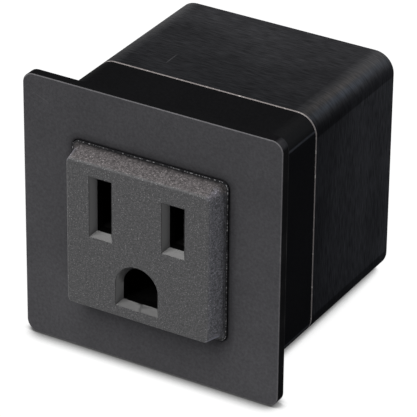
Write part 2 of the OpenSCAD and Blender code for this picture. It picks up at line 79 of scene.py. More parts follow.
floor_mesh = bpy.data.meshes.new("studio_floor")
floor_mesh.from_pydata(
    [(-half_floor, -half_floor, 0), (half_floor, -half_floor, 0),
     (half_floor, half_floor, 0), (-half_floor, half_floor, 0)],
    [], [(0, 1, 2, 3)],
)
floor = bpy.data.objects.new("studio_floor", floor_mesh)
scene.collection.objects.link(floor)
floor.matrix_world = Matrix.Translation(heel) @ Matrix.Rotation(floor_tilt, 4, "X")


def place(tree, kind, **inputs):
    """Adds a node to a tree; inputs are its sockets' values or the sockets that feed them."""
    made = tree.nodes.new(kind)
    for name, value in inputs.items():
        socket = made.inputs[name.replace("_", " ")]
        if isinstance(value, bpy.types.NodeSocket):
            tree.links.new(value, socket)
        else:
            socket.default_value = value
    return made


def sums(tree, operation, first, second=None, third=None):
    """One Math node on sockets or numbers."""
    made = tree.nodes.new("ShaderNodeMath")
    made.operation = operation
    for slot, value in enumerate((first, second, third)):
        if isinstance(value, bpy.types.NodeSocket):
            tree.links.new(value, made.inputs[slot])
        elif value is not None:
            made.inputs[slot].default_value = value
    return made.outputs[0]


def ramp(tree, value, low, high, from_value=0.0, to_value=1.0):
    """Maps low..high of a value to from_value..to_value, held at both ends."""
    made = place(tree, "ShaderNodeMapRange", Value=value, From_Min=low, From_Max=high,
                 To_Min=from_value, To_Max=to_value)
    made.clamp = True
    return made.outputs[0]


def empty_material(name):
    """A material with only its output node, and that output."""
    material = bpy.data.materials.new(name)
    material.use_nodes = True
    material.node_tree.nodes.clear()
    output = material.node_tree.nodes.new("ShaderNodeOutputMaterial")
    return material, material.node_tree, output


def seen_directly(tree):
    """1 for rays from the lens, off gloss and through glass, and 0 for the light itself."""
    path = tree.nodes.new("ShaderNodeLightPath")
    other = sums(tree, "MAXIMUM", path.outputs["Is Glossy Ray"], path.outputs["Is Transmission Ray"])
    return sums(tree, "MAXIMUM", path.outputs["Is Camera Ray"], other)


floor_material, tree, output = empty_material("studio_floor")
paper = place(tree, "ShaderNodeBsdfDiffuse", Color=(paper_white, paper_white, paper_white, 1))
shaded = place(tree, "ShaderNodeBsdfDiffuse", Color=(shadow_share, shadow_share, shadow_share, 1))
# Painted shadow: the glow the lens sees is darkened by ambient occlusion near the outlet, lighter beside the tube and
# past the faceplate's corner.
open_sky = place(tree, "ShaderNodeAmbientOcclusion", Distance=contact_reach)
open_sky.samples = 24
spot = place(tree, "ShaderNodeSeparateXYZ", Vector=tree.nodes.new("ShaderNodeNewGeometry").outputs["Position"])
beside = sums(tree, "MULTIPLY", ramp(tree, spot.outputs["X"], tube_high.x - 5.0 * MM, tube_high.x - 2.0 * MM),
              ramp(tree, spot.outputs["Y"], 0.5 * MM, 4.0 * MM))
painted_shadow_glow = place(tree, "ShaderNodeMapRange", Value=open_sky.outputs["AO"], To_Max=1.0,
                   From_Min=ramp(tree, beside, 0.0, 1.0, 0.46, 0.12), From_Max=ramp(tree, beside, 0.0, 1.0, front_open, side_open),
                   To_Min=ramp(tree, beside, 0.0, 1.0, contact_dark, side_dark))
painted_shadow_glow.interpolation_type = "SMOOTHSTEP"
past_corner = sums(tree, "MULTIPLY", ramp(tree, spot.outputs["X"], bezel_high.x - 1.5 * MM, bezel_high.x + 0.3 * MM, 0.0, corner_open),
                   ramp(tree, spot.outputs["Y"], 3.0 * MM, 1.0 * MM))
glow = place(tree, "ShaderNodeEmission", Color=(1, 1, 1, 1),
             Strength=sums(tree, "MAXIMUM", painted_shadow_glow.outputs[0], past_corner))
white = tree.nodes.new("ShaderNodeAddShader")
tree.links.new(shaded.outputs[0], white.inputs[0])
tree.links.new(glow.outputs[0], white.inputs[1])
either = tree.nodes.new("ShaderNodeMixShader")
tree.links.new(seen_directly(tree), either.inputs[0])
tree.links.new(paper.outputs[0], either.inputs[1])
tree.links.new(white.outputs[0], either.inputs[2])
tree.links.new(either.outputs[0], output.inputs["Surface"])
floor_mesh.materials.append(floor_material)

# Studio light
# A dim room and one broad soft box high above the front, so tops are lit most and the right
# side least. Two small lamps behind draw the warm and the cool sheen along the tube's corner.
world = bpy.data.worlds.new("studio_room")
world.use_nodes = True
tree = world.node_tree
tree.nodes.clear()
output = tree.nodes.new("ShaderNodeOutputWorld")
room = place(tree, "ShaderNodeBackground", Color=(0.97, 0.98, 1.0, 1), Strength=0.2)
backdrop = place(tree, "ShaderNodeBackground", Color=(1, 1, 1, 1), Strength=1.0)
either = tree.nodes.new("ShaderNodeMixShader")
tree.links.new(seen_directly(tree), either.inputs[0])
tree.links.new(room.outputs[0], either.inputs[1])
tree.links.new(backdrop.outputs[0], either.inputs[2])
tree.links.new(either.outputs[0], output.inputs["Surface"])
scene.world = world


def soft_box(name, direction, distance, size, watts, colour):
    """A square area lamp that looks at the outlet from a direction."""
    lamp = bpy.data.lights.new(name, "AREA")
    lamp.shape = "SQUARE"
    lamp.size = size
    lamp.energy = watts
    lamp.color = colour
    box = bpy.data.objects.new(name, lamp)
    scene.collection.objects.link(box)
    away = Vector(direction).normalized()
    box.matrix_world = Matrix.Translation(away * distance) @ away.to_track_quat("Z", "Y").to_matrix().to_4x4()
    return box


soft_box("key_box", (-0.2, -0.52, 0.83), 1.2, 1.0, 17.5, (1.0, 0.99, 0.975))
soft_box("warm_rim", (0.084, 0.757, 0.649), 1.0, 0.3, 1.3, (1.0, 0.86, 0.74))
soft_box("cool_rim", (0.44, 0.757, 0.46), 1.0, 0.3, 2.1, (0.5, 0.7, 1.0))

# Bezel
# Faceplate and collar in one piece of aluminium, anodised black. The faceplate's front is bead
# blasted to a soft grey, its rim is rubbed bright, partly wear and partly a painted highlight, and
# its cut edges and the collar are darker.
plate_grey = (0.0607, 0.0602, 0.0648, 1)
turned_black = (0.0069, 0.0069, 0.0074, 1)
worn_and_highlight_grey = (0.14, 0.137, 0.145, 1)
right_face_brown = (0.0118, 0.0112, 0.0112, 1)
rear_line = (0.045, 0.042, 0.041, 1)
blast_size = 0.45 * MM
plate_edge_width = 0.12 * MM
plate_corner = 1.9 * MM
collar_corner = 3.3 * MM
plate_scratch = ((-20.3, -1.7, 19.3), (-17.8, -1.7, 18.3))
collar_sheen = 0.04
window_half = 13.7 * MM
window_corner = 1.35 * MM
window_shade_dark = 0.62
painted_line_grey = (0.032, 0.033, 0.037, 1)
plate_corner_highlight = 0.2
low_corner_reflection_share = 0.7


def new_effect(name, inputs, outputs):
    """A node group with named sockets, and its input and output nodes."""
    group = bpy.data.node_groups.new(name, "ShaderNodeTree")
    kinds = {"v": "NodeSocketVector", "f": "NodeSocketFloat"}
    for label, kind in inputs:
        group.interface.new_socket(label, in_out="INPUT", socket_type=kinds[kind])
    for label, kind in outputs:
        group.interface.new_socket(label, in_out="OUTPUT", socket_type=kinds[kind])
    return group, group.nodes.new("NodeGroupInput"), group.nodes.new("NodeGroupOutput")


def use_effect(tree, group, **inputs):
    """Places an effect in a material; inputs are its sockets' values or what feeds them."""
    made = tree.nodes.new("ShaderNodeGroup")
    made.node_tree = group
    for name, value in inputs.items():
        socket = made.inputs[name.replace("_", " ")]
        if isinstance(value, bpy.types.NodeSocket):
            tree.links.new(value, socket)
        else:
            socket.default_value = value
    return made


def mix_colour(tree, share, first, second):
    """Blends two colours by a mask."""
    made = tree.nodes.new("ShaderNodeMix")
    made.data_type = "RGBA"
    for socket, value in ((made.inputs[0], share), (made.inputs[6], first), (made.inputs[7], second)):
        if isinstance(value, bpy.types.NodeSocket):
            tree.links.new(value, socket)
        else:
            socket.default_value = value
    return made.outputs[2]


def scale_colour(tree, colour, by):
    """Darkens or lightens a colour by a number or a socket."""
    made = tree.nodes.new("ShaderNodeVectorMath")
    made.operation = "SCALE"
    if isinstance(colour, bpy.types.NodeSocket):
        tree.links.new(colour, made.inputs[0])
    else:
        made.inputs[0].default_value = colour[:3]
    tree.links.new(by, made.inputs["Scale"])
    return made.outputs[0]


def stretched(tree, place_socket, scale):
    """A place in space, scaled along X, Y and Z."""
    made = tree.nodes.new("ShaderNodeMapping")
    made.inputs["Scale"].default_value = scale
    tree.links.new(place_socket, made.inputs["Vector"])
    return made.outputs[0]


def along(tree, where, axis):
    """One coordinate of a place."""
    return place(tree, "ShaderNodeSeparateXYZ", Vector=where).outputs[axis]


# How far a place lies outside a rounded square in X and Z; inside it is negative.
square_reach, start, end = new_effect(
    "square_reach", [("Place", "v"), ("Half Width", "f"), ("Half Height", "f"), ("Corner", "f")], [("Reach", "f")])
parts = place(square_reach, "ShaderNodeSeparateXYZ", Vector=start.outputs["Place"])
overs = []
for axis, half in (("X", "Half Width"), ("Z", "Half Height")):
    flat = sums(square_reach, "SUBTRACT", start.outputs[half], start.outputs["Corner"])
    overs.append(sums(square_reach, "SUBTRACT", sums(square_reach, "ABSOLUTE", parts.outputs[axis]), flat))
outer = [sums(square_reach, "MAXIMUM", over, 0.0) for over in overs]
squares = sums(square_reach, "MULTIPLY_ADD", outer[0], outer[0], sums(square_reach, "MULTIPLY", outer[1], outer[1]))
inner = sums(square_reach, "MINIMUM", sums(square_reach, "MAXIMUM", overs[0], overs[1]), 0.0)
reach = sums(square_reach, "ADD", sums(square_reach, "SQRT", squares), inner)
square_reach.links.new(sums(square_reach, "SUBTRACT", reach, start.outputs["Corner"]), end.inputs["Reach"])

# 1 on the rounded corners of a square section that runs along Y, and 0 on its flats.
corner_zone, start, end = new_effect(
    "corner_zone", [("Place", "v"), ("Flat X", "f"), ("Flat Z", "f"), ("Soft", "f")], [("Mask", "f")])
parts = place(corner_zone, "ShaderNodeSeparateXYZ", Vector=start.outputs["Place"])
sides = []
for axis, flat in (("X", "Flat X"), ("Z", "Flat Z")):
    over = sums(corner_zone, "SUBTRACT", sums(corner_zone, "ABSOLUTE", parts.outputs[axis]), start.outputs[flat])
    share = sums(corner_zone, "DIVIDE", over, start.outputs["Soft"])
    sides.append(sums(corner_zone, "MINIMUM", sums(corner_zone, "MAXIMUM", share, 0.0), 1.0))
corner_zone.links.new(sums(corner_zone, "MULTIPLY", sides[0], sides[1]), end.inputs["Mask"])

# Fine pits left by blasting or by a matt mould, and the cloudy shade of the finish.
blast_grain, start, end = new_effect(
    "blast_grain", [("Place", "v"), ("Size", "f")], [("Height", "f"), ("Shade", "f"), ("Cloud", "f")])
wide = sums(blast_grain, "DIVIDE", 1.0, start.outputs["Size"])
pits = place(blast_grain, "ShaderNodeTexNoise", Vector=start.outputs["Place"], Scale=wide, Detail=3.0, Roughness=0.7)
blast_grain.links.new(pits.outputs["Fac"], end.inputs["Height"])
blast_grain.links.new(pits.outputs["Fac"], end.inputs["Shade"])
clouds = place(blast_grain, "ShaderNodeTexNoise", Vector=start.outputs["Place"], Scale=110.0, Detail=2.0)
blast_grain.links.new(clouds.outputs["Fac"], end.inputs["Cloud"])

# A fine straight scratch from one place to another, fading at both ends.
fine_scratch, start, end = new_effect(
    "fine_scratch", [("Place", "v"), ("From", "v"), ("To", "v"), ("Width", "f")], [("Mask", "f")])


def vectors(tree, operation, first, second):
    """One Vector Math node on two sockets."""
    made = tree.nodes.new("ShaderNodeVectorMath")
    made.operation = operation
    tree.links.new(first, made.inputs[0])
    tree.links.new(second, made.inputs[1])
    return made


run = vectors(fine_scratch, "SUBTRACT", start.outputs["To"], start.outputs["From"]).outputs[0]
off = vectors(fine_scratch, "SUBTRACT", start.outputs["Place"], start.outputs["From"]).outputs[0]
share = sums(fine_scratch, "DIVIDE", vectors(fine_scratch, "DOT_PRODUCT", off, run).outputs["Value"],
             vectors(fine_scratch, "DOT_PRODUCT", run, run).outputs["Value"])
nearest = fine_scratch.nodes.new("ShaderNodeVectorMath")
nearest.operation = "SCALE"
fine_scratch.links.new(run, nearest.inputs[0])
fine_scratch.links.new(share, nearest.inputs["Scale"])
apart = vectors(fine_scratch, "DISTANCE", off, nearest.outputs[0]).outputs["Value"]
thin = sums(fine_scratch, "SUBTRACT", 1.0, sums(fine_scratch, "DIVIDE", apart, start.outputs["Width"]))
thin = sums(fine_scratch, "MAXIMUM", thin, 0.0)
fade = sums(fine_scratch, "MULTIPLY", ramp(fine_scratch, share, 0.0, 0.25), ramp(fine_scratch, share, 1.0, 0.75))
fine_scratch.links.new(sums(fine_scratch, "MULTIPLY", thin, fade), end.inputs["Mask"])


def piece_material(name, roughness, specular):
    """A material whose Principled BSDF is in place, with its tree, shader and object coordinates."""
    material, tree, output = empty_material(name)
    shader = place(tree, "ShaderNodeBsdfPrincipled", Roughness=roughness)
    shader.inputs["Specular IOR Level"].default_value = specular
    tree.links.new(shader.outputs[0], output.inputs["Surface"])
    where = tree.nodes.new("ShaderNodeTexCoord").outputs["Object"]
    return material, tree, shader, where


def raise_bumps(tree, shader, height, depth, strength=1.0):
    """Feeds a height into the shader's normal; depth is the relief's full height in metres."""
    bumps = place(tree, "ShaderNodeBump", Height=height, Strength=strength, Distance=depth)
    tree.links.new(bumps.outputs[0], shader.inputs["Normal"])
    return bumps


def scratch_mask(tree, where, ends, width):
    """The mask of one fine scratch between two places given in millimetres."""
    first, last = (tuple(value * MM for value in spot) for spot in ends)
    return use_effect(tree, fine_scratch, Place=where, From=first, To=last, Width=width).outputs["Mask"]


def dress(node_name, material):
    """Gives a CAD node its material."""
    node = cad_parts[node_name]
    node.data.materials.clear()
    node.data.materials.append(material)
    return node


def soften_edges(node, width, segments=2, angle=35.0):
    """Breaks a node's sharp edges with a fine real bevel and smooths its curved faces."""
    weld = node.modifiers.new("join", "WELD")
    weld.merge_threshold = 0.001 * MM
    bevel = node.modifiers.new("broken_edge", "BEVEL")
    bevel.width = width
    bevel.segments = segments
    bevel.limit_method = "ANGLE"
    bevel.angle_limit = math.radians(angle)
    bevel.harden_normals = True
    return bevel


collar_half_x = tube_high.x
collar_half_z = tube_high.z
bezel_material, tree, shader, where = piece_material("blasted_black", 0.6, 0.0)
grain = use_effect(tree, blast_grain, Place=where, Size=blast_size)
depth = along(tree, where, "Y")
cut_edge = ramp(tree, depth, bezel_low.y + 0.08 * MM, bezel_low.y + 0.13 * MM)
outline = use_effect(tree, square_reach, Place=where, Half_Width=bezel_high.x, Half_Height=bezel_high.z,
                     Corner=plate_corner).outputs["Reach"]
# The rim's lighter grey is partly wear and partly a painted highlight.
rubbed = ramp(tree, outline, -0.22 * MM, -0.14 * MM, 0.0, 0.95)
wander = ramp(tree, grain.outputs["Cloud"], 0.35, 0.65, 0.75, 1.0)
# Painted light: the front is lighter below than above.
painted_height_light = ramp(tree, along(tree, where, "Z"), -20.0 * MM, 20.0 * MM, 1.09, 0.89)
front_tone = scale_colour(tree, plate_grey, painted_height_light)
tone = mix_colour(tree, sums(tree, "MULTIPLY", rubbed, wander), front_tone, worn_and_highlight_grey)
scratched = sums(tree, "MULTIPLY", scratch_mask(tree, where, plate_scratch, 0.14 * MM), 0.3)
tone = mix_colour(tree, scratched, tone, worn_and_highlight_grey)
# Painted highlight: on the plate's rounded corners the cut edges keep some of the front's grey.
plate_corners = use_effect(tree, corner_zone, Place=where, Flat_X=bezel_high.x - 1.5 * MM,
                           Flat_Z=bezel_high.z - 1.5 * MM, Soft=0.6 * MM).outputs["Mask"]
tone = mix_colour(tree, sums(tree, "MULTIPLY", cut_edge, sums(tree, "SUBTRACT", 1.0, sums(
    tree, "MULTIPLY", plate_corners, plate_corner_highlight))), tone, turned_black)
# Painted shade around the outlet's window, the shadow of the raised face.
window = use_effect(tree, square_reach, Place=where, Half_Width=window_half, Half_Height=window_half,
                    Corner=window_corner).outputs["Reach"]
window_shade = sums(tree, "MULTIPLY", ramp(tree, window, 0.0, 1.3 * MM, window_shade_dark, 1.0),
            ramp(tree, window, 0.1 * MM, 0.3 * MM, window_shade_dark, 1.0))
tone = scale_colour(tree, tone, window_shade)
# The right cut face is a patchy, lighter brown than the other cut faces, with a lighter line along its rear edge.
side_edge = sums(tree, "MULTIPLY", ramp(tree, along(tree, where, "X"), bezel_high.x - 0.1 * MM, bezel_high.x - 0.02 * MM),
                 ramp(tree, grain.outputs["Cloud"], 0.4, 0.6, 0.35, 1.0))
tone = mix_colour(tree, sums(tree, "MULTIPLY", side_edge, cut_edge), tone, right_face_brown)
# Painted reflection of the floor on the cut edge's lower rounded corners.
low_corner_reflection = sums(tree, "MULTIPLY", sums(tree, "MULTIPLY", plate_corners, cut_edge),
                  ramp(tree, along(tree, where, "Z"), bezel_low.z + 2.4 * MM, bezel_low.z + 1.4 * MM))
tone = mix_colour(tree, sums(tree, "MULTIPLY", low_corner_reflection, low_corner_reflection_share), tone, worn_and_highlight_grey)
rear_edge = sums(tree, "MULTIPLY", ramp(tree, depth, -0.17 * MM, -0.09 * MM), ramp(tree, depth, 0.04 * MM, 0.0))
tone = mix_colour(tree, sums(tree, "MULTIPLY", side_edge, rear_edge), tone, rear_line)
# Painted reflection: a thin light line along each rounded corner of the collar.
level = sums(tree, "ABSOLUTE", along(tree, where, "Z"))
off_line = sums(tree, "ABSOLUTE", sums(tree, "SUBTRACT", level, collar_half_z - collar_corner + 0.9 * MM))
painted_collar_line = sums(tree, "MULTIPLY", ramp(tree, off_line, 0.24 * MM, 0.05 * MM), ramp(tree, depth, 0.0, 0.05 * MM))
tone = mix_colour(tree, painted_collar_line, tone, painted_line_grey)
shade = sums(tree, "MULTIPLY", ramp(tree, grain.outputs["Shade"], 0.3, 0.7, 0.84, 1.16),
             ramp(tree, grain.outputs["Cloud"], 0.3, 0.7, 0.94, 1.06))
tree.links.new(scale_colour(tree, tone, shade), shader.inputs["Base Color"])
tree.links.new(ramp(tree, grain.outputs["Shade"], 0.3, 0.7, 0.5, 0.68), shader.inputs["Roughness"])
raise_bumps(tree, shader, grain.outputs["Height"], 0.012 * MM)
shader.inputs["Coat Roughness"].default_value = 0.3
corners = use_effect(tree, corner_zone, Place=where, Flat_X=collar_half_x - collar_corner,
                     Flat_Z=collar_half_z - collar_corner + 0.8 * MM, Soft=1.2 * MM).outputs["Mask"]
behind_plate = ramp(tree, depth, 0.0, 0.05 * MM)
collar_only = sums(tree, "MULTIPLY", corners, behind_plate)
tree.links.new(sums(tree, "MULTIPLY", collar_only, collar_sheen), shader.inputs["Coat Weight"])
bezel = dress("bezel", bezel_material)
soften_edges(bezel, plate_edge_width)

# Tube
# Square aluminium tube, belt brushed around its girth and anodised black. Its front edge was
# turned back after the finish, so a fine chamfer of bare metal marks the joint.
tube_front_grey = (0.0143, 0.0145, 0.0158, 1)
tube_rear_grey = (0.0285, 0.0285, 0.0305, 1)
bare_metal = (0.20, 0.183, 0.180, 1)
burr_glint_bright = (0.42, 0.40, 0.39, 1)
bare_depth = 0.38 * MM
joint_y = tube_low.y
tube_scratch = ((-9.15, 17.6, 19.05), (-9.25, 21.6, 19.05))
tube_sheen = 0.22
turn_shade_share = 0.55

# Lines of a belt that ran around the girth: a fine relief, and streaks that differ in shade.
brushed_lines, start, end = new_effect(
    "brushed_lines", [("Place", "v")], [("Height", "f"), ("Streaks", "f"), ("Patches", "f")])
fine = place(brushed_lines, "ShaderNodeTexNoise",
             Vector=stretched(brushed_lines, start.outputs["Place"], (760, 7600, 760)), Scale=1.0, Detail=3.0)
broad = place(brushed_lines, "ShaderNodeTexNoise",
              Vector=stretched(brushed_lines, start.outputs["Place"], (420, 3900, 420)), Scale=1.0, Detail=2.0)
patches = place(brushed_lines, "ShaderNodeTexNoise",
                Vector=stretched(brushed_lines, start.outputs["Place"], (60, 110, 60)), Scale=1.0, Detail=1.0)
brushed_lines.links.new(fine.outputs["Fac"], end.inputs["Height"])
brushed_lines.links.new(
    sums(brushed_lines, "MULTIPLY_ADD", broad.outputs["Fac"], 0.6, sums(brushed_lines, "MULTIPLY", fine.outputs["Fac"], 0.4)),
    end.inputs["Streaks"])
brushed_lines.links.new(patches.outputs["Fac"], end.inputs["Patches"])

tube_material, tree, shader, where = piece_material("brushed_black", 0.45, 0.0)
lines = use_effect(tree, brushed_lines, Place=where)
depth = along(tree, where, "Y")
# Painted light: the tube's grey runs from darker by the faceplate to lighter at the rear.
tone = mix_colour(tree, ramp(tree, depth, joint_y, tube_high.y), tube_front_grey, tube_rear_grey)
shade = sums(tree, "MULTIPLY", ramp(tree, lines.outputs["Streaks"], 0.36, 0.64, 0.62, 1.38),
             ramp(tree, lines.outputs["Patches"], 0.35, 0.65, 0.85, 1.16))
tone = scale_colour(tree, tone, shade)
width = sums(tree, "ABSOLUTE", along(tree, where, "X"))
level = sums(tree, "ABSOLUTE", along(tree, where, "Z"))
# Painted shade: a dark band on the lower part of each corner, where it turns into the side.
turn_shade = sums(tree, "MULTIPLY", ramp(tree, level, collar_half_z - collar_corner - 0.5 * MM, collar_half_z - collar_corner - 0.2 * MM),
                  ramp(tree, level, collar_half_z - 1.2 * MM, collar_half_z - collar_corner + 0.6 * MM))
turn_shade = sums(tree, "MULTIPLY", turn_shade, ramp(tree, width, collar_half_x - 1.6 * MM, collar_half_x - 0.8 * MM))
tone = scale_colour(tree, tone, ramp(tree, turn_shade, 0.0, 1.0, 1.0, turn_shade_share))
scratched = sums(tree, "MULTIPLY", scratch_mask(tree, where, tube_scratch, 0.14 * MM), 0.3)
tone = mix_colour(tree, scratched, tone, worn_and_highlight_grey)
# Painted highlight along the tube's rear edge.
rear_edge_highlight = ramp(tree, depth, tube_high.y - 0.22 * MM, tube_high.y - 0.12 * MM, 0.0, 0.35)
tone = mix_colour(tree, rear_edge_highlight, tone, worn_and_highlight_grey)
# Bright specks on the bare chamfer: burrs, with their glints painted in.
burr_glints = place(tree, "ShaderNodeTexNoise", Vector=where, Scale=1900.0, Detail=1.0).outputs["Fac"]
joint_tone = mix_colour(tree, ramp(tree, burr_glints, 0.6, 0.7), bare_metal, burr_glint_bright)
bare = ramp(tree, depth, joint_y + bare_depth, joint_y + bare_depth * 0.8)
tree.links.new(mix_colour(tree, bare, tone, joint_tone), shader.inputs["Base Color"])
tree.links.new(sums(tree, "MULTIPLY", bare, 0.15), shader.inputs["Metallic"])
tree.links.new(ramp(tree, lines.outputs["Streaks"], 0.3, 0.7, 0.38, 0.52), shader.inputs["Roughness"])
raise_bumps(tree, shader, lines.outputs["Height"], 0.006 * MM)
shader.inputs["Coat Roughness"].default_value = 0.4
corners = use_effect(tree, corner_zone, Place=where, Flat_X=collar_half_x - collar_corner - 0.8 * MM,
                     Flat_Z=collar_half_z - collar_corner + 1.3 * MM, Soft=1.5 * MM).outputs["Mask"]
sheen = sums(tree, "MULTIPLY", corners, ramp(tree, lines.outputs["Streaks"], 0.35, 0.65, 0.65 * tube_sheen, 1.35 * tube_sheen))
tree.links.new(sheen, shader.inputs["Coat Weight"])
tube = dress("housing_tube", tube_material)
soften_edges(tube, 0.05 * MM)

# Outlet face
# Moulded in dark grey plastic against a spark-eroded cavity, so it has a coarse sparkling grain.
# The lead-in bevels of its three openings are polished, and flash glints along its thin rim.
face_grey = (0.0580, 0.0580, 0.0602, 1)
spark_light = (0.21, 0.21, 0.214, 1)
polished_grey = (0.047, 0.047, 0.048, 1)
top_wall_light = (1.63, 1.5, 1.48)
side_wall_light = (1.95, 1.96, 2.1)
polish = 0.42
edge_highlight_gain = 1.4
corner_highlight_tint = (1.5, 1.56, 1.74, 1)
wall_foot_shade = 0.58
ledge_shade = 0.62
ledge_gap_shadow = (0.008, 0.008, 0.009, 1)
opening_shadow = (0.0012, 0.0012, 0.0012, 1)
flash_bright = (0.27, 0.27, 0.28, 1)
spark_size = 0.35 * MM
bevel_depth = 1.15 * MM
openings_reach = 11.5 * MM
earth_foot_z = -9.7 * MM
foot_slope = (0.0, -0.594, 0.804, 1)
earth_foot_light = 1.4
foot_mitre = 0.944
foot_reach = -6.2 * MM
rim_half = 13.55 * MM
rim_corner = 1.2 * MM
face_front, face_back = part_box("outlet_face")

# The pitted grain of spark erosion, with specks where a facet catches the light.
spark_grain, start, end = new_effect(
    "spark_grain", [("Place", "v"), ("Size", "f")], [("Height", "f"), ("Speck", "f")])
scale = sums(spark_grain, "DIVIDE", 1.0, start.outputs["Size"])
cells = place(spark_grain, "ShaderNodeTexNoise", Vector=start.outputs["Place"], Scale=scale, Detail=3.0, Roughness=0.6)
spark_grain.links.new(cells.outputs["Fac"], end.inputs["Height"])
glint = place(spark_grain, "ShaderNodeTexNoise", Vector=start.outputs["Place"],
              Scale=sums(spark_grain, "MULTIPLY", scale, 2.3), Detail=1.0)
spark_grain.links.new(ramp(spark_grain, glint.outputs["Fac"], 0.6, 0.74), end.inputs["Speck"])

face_material, tree, shader, where = piece_material("spark_textured", 0.5, 0.2)
grain = use_effect(tree, spark_grain, Place=where, Size=spark_size)
depth = along(tree, where, "Y")
spread = use_effect(tree, square_reach, Place=where, Half_Width=openings_reach, Half_Height=openings_reach,
                    Corner=0.5 * MM).outputs["Reach"]
in_openings = ramp(tree, spread, 0.05 * MM, -0.05 * MM)
bevels = sums(tree, "MULTIPLY", in_openings, ramp(tree, depth, face_front.y + 0.03 * MM, face_front.y + 0.08 * MM))
throats = sums(tree, "MULTIPLY", in_openings,
               ramp(tree, depth, face_front.y + bevel_depth - 0.06 * MM, face_front.y + bevel_depth))
textured = sums(tree, "SUBTRACT", 1.0, bevels)
shade = ramp(tree, grain.outputs["Height"], 0.34, 0.66, 0.68, 1.32)
tone = mix_colour(tree, grain.outputs["Speck"], scale_colour(tree, face_grey, shade), spark_light)
# Painted light: the walls are lightened, the top wall warm and the others cool.
wall_light = mix_colour(tree, ramp(tree, along(tree, where, "Z"), 11.6 * MM, 12.2 * MM), side_wall_light + (1,), top_wall_light + (1,))
walls = sums(tree, "SUBTRACT", ramp(tree, depth, face_front.y + 0.1 * MM, face_front.y + 0.5 * MM), in_openings)
lit_wall = vectors(tree, "MULTIPLY", tone, wall_light).outputs[0]
lit_wall = scale_colour(tree, lit_wall, ramp(tree, grain.outputs["Height"], 0.36, 0.64, 0.78, 1.22))
tone = mix_colour(tree, sums(tree, "MAXIMUM", walls, 0.0), tone, lit_wall)
# Painted highlight: the walls' rounded corners are lighter and bluer.
face_corners = use_effect(tree, corner_zone, Place=where, Flat_X=11.75 * MM, Flat_Z=11.75 * MM,
                          Soft=0.55 * MM).outputs["Mask"]
above_foot = ramp(tree, depth, -2.5 * MM, -3.4 * MM)
painted_corner_highlight = mix_colour(tree, sums(tree, "MULTIPLY", face_corners, above_foot), (1.0, 1.0, 1.0, 1), corner_highlight_tint)
tone = vectors(tree, "MULTIPLY", tone, painted_corner_highlight).outputs[0]
# Painted highlight along the face's rounded front edge.
edge_highlight = sums(tree, "MULTIPLY", ramp(tree, depth, face_front.y + 0.01 * MM, face_front.y + 0.06 * MM),
                   ramp(tree, depth, face_front.y + 0.85 * MM, face_front.y + 0.2 * MM))
edge_highlight = sums(tree, "MAXIMUM", sums(tree, "SUBTRACT", edge_highlight, in_openings), 0.0)
tone = scale_colour(tree, tone, ramp(tree, edge_highlight, 0.0, 1.0, 1.0, edge_highlight_gain))
tone = mix_colour(tree, bevels, tone, polished_grey)
on_foot = sums(tree, "MULTIPLY", bevels, ramp(tree, along(tree, where, "Z"), earth_foot_z, earth_foot_z - 0.02 * MM))
mitre = sums(tree, "MULTIPLY_ADD", along(tree, where, "Z"), foot_mitre, sums(tree, "ABSOLUTE", along(tree, where, "X")))
on_foot = sums(tree, "MULTIPLY", on_foot, ramp(tree, mitre, foot_reach, foot_reach - 0.06 * MM))
# Painted light: the foot of the earth hole's bevel is lightened.
tone = scale_colour(tree, tone, ramp(tree, on_foot, 0.0, 1.0, 1.0, earth_foot_light))
outline = use_effect(tree, square_reach, Place=where, Half_Width=rim_half, Half_Height=rim_half,
                     Corner=rim_corner).outputs["Reach"]
# Painted shade: the walls darken towards their foot.
foot_shade = ramp(tree, depth, -3.1 * MM, -2.1 * MM, 1.0, wall_foot_shade)
tone = scale_colour(tree, tone, foot_shade)
# Painted shade on the rim's ledge, and a near black painted shadow of the gap at its outer part.
ledge = ramp(tree, depth, -2.35 * MM, -2.08 * MM)
tone = scale_colour(tree, tone, ramp(tree, ledge, 0.0, 1.0, 1.0, ledge_shade))
tone = mix_colour(tree, sums(tree, "MULTIPLY", ledge, ramp(tree, outline, -0.34 * MM, -0.2 * MM)), tone, ledge_gap_shadow)
flash_noise = place(tree, "ShaderNodeTexNoise", Vector=where, Scale=3400.0, Detail=2.0).outputs["Fac"]
flash = sums(tree, "MULTIPLY", ramp(tree, flash_noise, 0.52, 0.62), ramp(tree, outline, -0.13 * MM, -0.07 * MM))
flash = sums(tree, "MULTIPLY", flash, ramp(tree, depth, -1.85 * MM, -1.95 * MM))
tone = mix_colour(tree, sums(tree, "MULTIPLY", flash, ledge), tone, flash_bright)
# Painted shade: past the lead-in bevels the openings are near black.
tone = mix_colour(tree, throats, tone, opening_shadow)
tree.links.new(tone, shader.inputs["Base Color"])
tree.links.new(ramp(tree, sums(tree, "MULTIPLY", textured, ramp(tree, grain.outputs["Height"], 0.3, 0.7, 0.5, 1.0)),
                    0.0, 1.0, 0.3, 0.62), shader.inputs["Roughness"])
pits = raise_bumps(tree, shader, sums(tree, "MULTIPLY", grain.outputs["Height"], textured), 0.11 * MM)
facing = tree.nodes.new("ShaderNodeNewGeometry").outputs["Normal"]
tree.links.new(mix_colour(tree, on_foot, facing, foot_slope), pits.inputs["Normal"])
shader.inputs["Coat Roughness"].default_value = 0.2
tree.links.new(sums(tree, "MULTIPLY", sums(tree, "SUBTRACT", bevels, throats), polish), shader.inputs["Coat Weight"])
outlet_face = dress("outlet_face", face_material)
soften_edges(outlet_face, 0.06 * MM)

# Outlet base
# The block behind the face that carries the contacts, moulded in plain black phenolic with a
# faint flow of darker and lighter resin.
base_black = (0.0035, 0.0035, 0.0035, 1)
base_grey = (0.0055, 0.0053, 0.005, 1)

